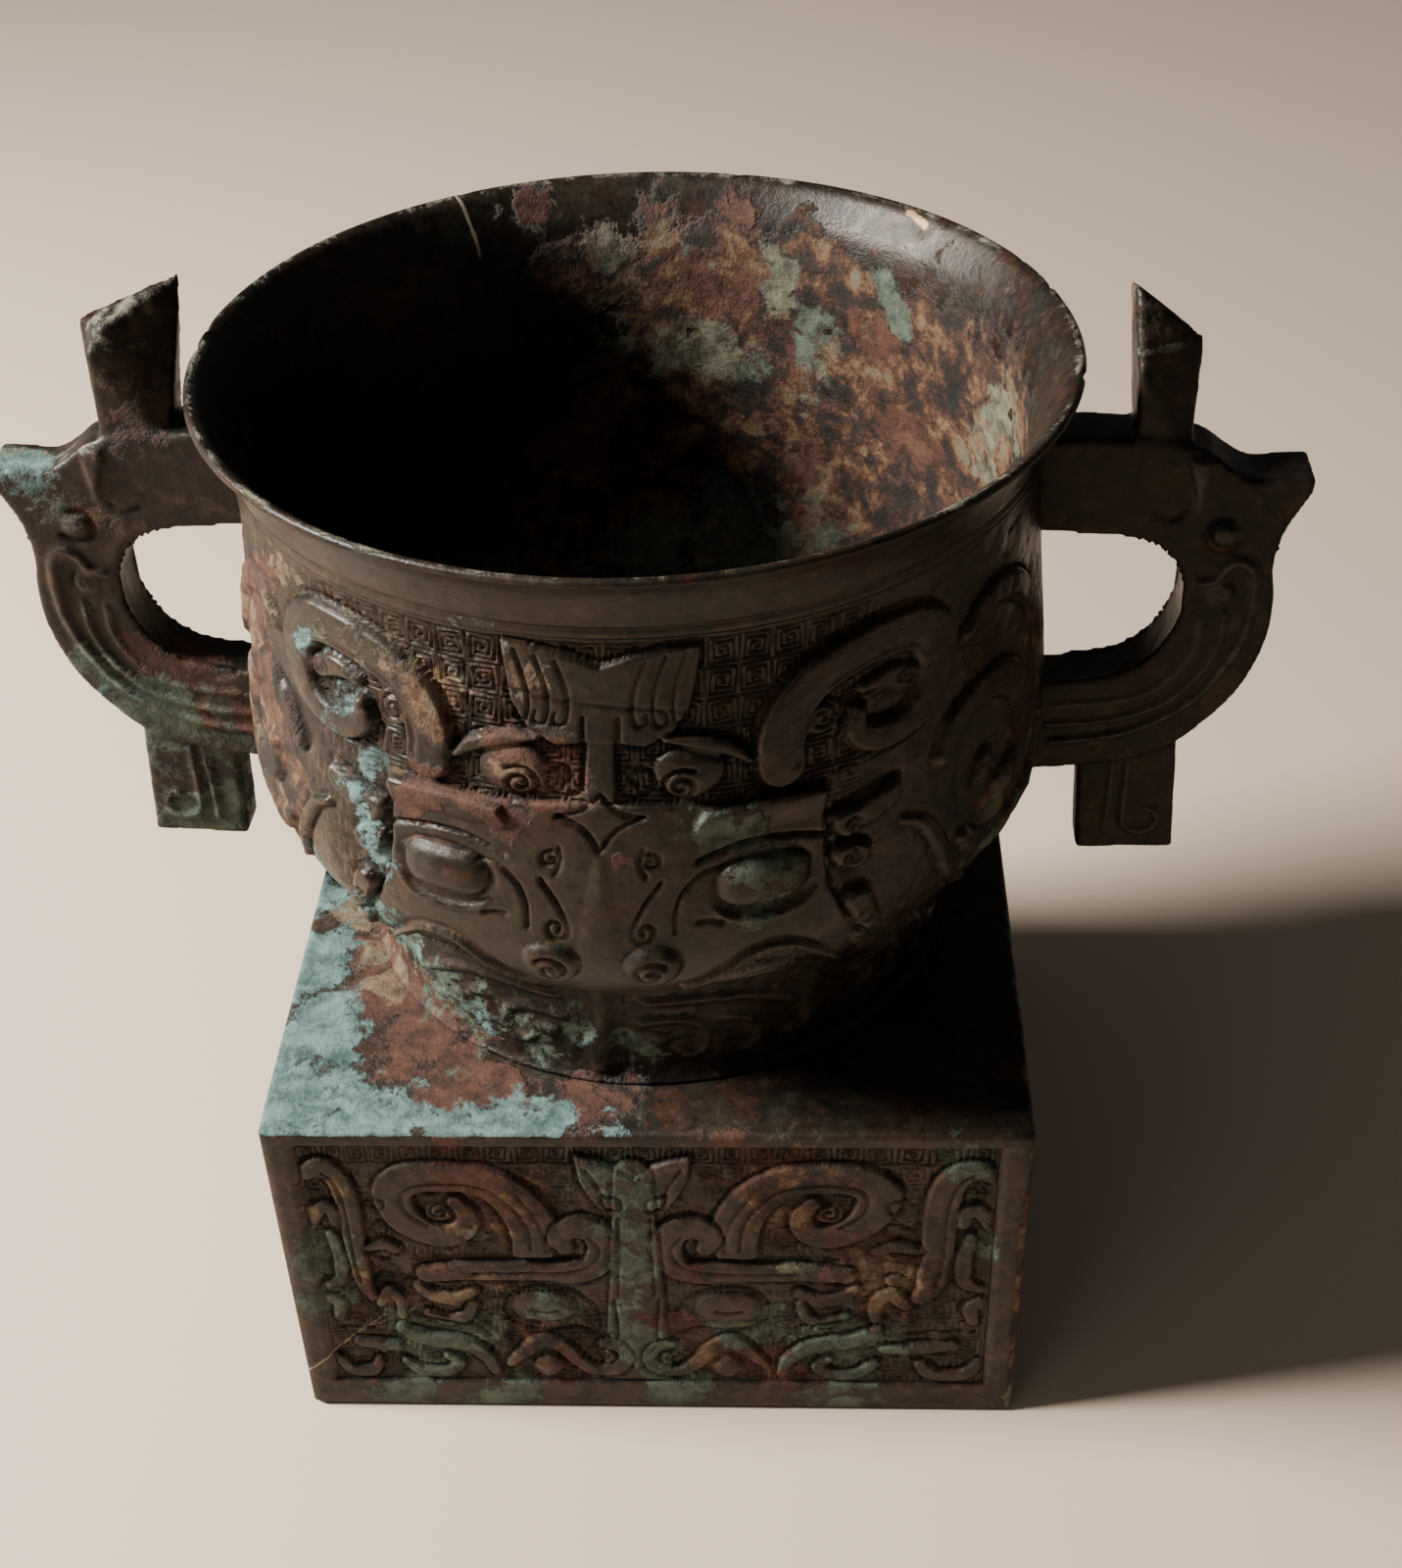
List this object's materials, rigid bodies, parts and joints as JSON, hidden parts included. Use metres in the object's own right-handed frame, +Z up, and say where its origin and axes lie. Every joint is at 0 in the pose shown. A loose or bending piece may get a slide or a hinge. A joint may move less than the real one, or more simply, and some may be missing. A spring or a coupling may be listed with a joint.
{
  "type": "square-plinth bronze food vessel (gui)",
  "caption": "Ancient cast bronze food vessel: deep round bowl with animal-mask relief on a ring foot, square hollow plinth below, and looped beast-head handles with upright horns.",
  "frame": {"origin": "on the ground, under the centre of the square plinth", "axes": "+Z up, +X towards the right-hand handle as seen from the front, -Y towards the front"},
  "size_m": [0.3352, 0.219, 0.298],
  "materials": {
    "plinth_bronze": "dark brown cast bronze under green, turquoise and red-brown corrosion",
    "bowl_bronze": "dark brown cast bronze, satin on the lip, with red, ochre and green crusts",
    "handle_bronze": "dark brown cast bronze with green corrosion in the hollows"
  },
  "bodies": {
    "root": {"plinth": "plinth_bronze", "bowl": "bowl_bronze", "handle_left": "handle_bronze", "handle_right": "handle_bronze"}
  },
  "joints": []
}
